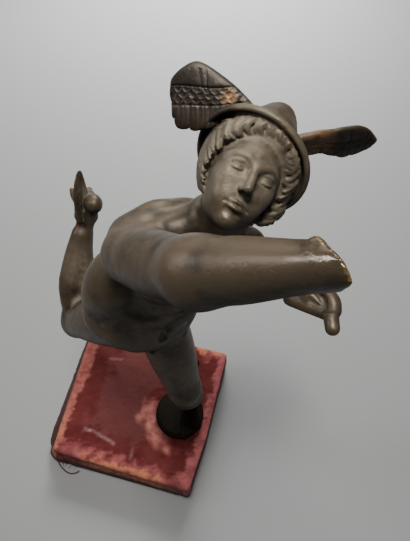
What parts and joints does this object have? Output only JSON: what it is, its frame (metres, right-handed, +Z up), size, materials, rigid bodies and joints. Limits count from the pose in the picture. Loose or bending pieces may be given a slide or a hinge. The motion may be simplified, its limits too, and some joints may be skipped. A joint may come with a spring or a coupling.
{
  "type": "bronze statuette on a cloth-covered block",
  "caption": "Dark bronze running messenger god with winged hat and winged ankles, right arm broken at the wrist, poised on one foot on a velvet-covered wooden block.",
  "frame": {"origin": "middle of the block's underside", "axes": "+Z up, with the block's sides along X and Y; the figure faces between -Y and +X and reaches up towards +X"},
  "size_m": [0.109, 0.0912, 0.1987],
  "materials": {
    "bronze": "worn dark brown bronze patina, satin",
    "velvet": "worn dark crimson velvet glued over wood, frayed at the edges"
  },
  "bodies": {
    "root": {"bronze_figure": "bronze", "cloth_covered_block": "velvet"}
  },
  "joints": []
}
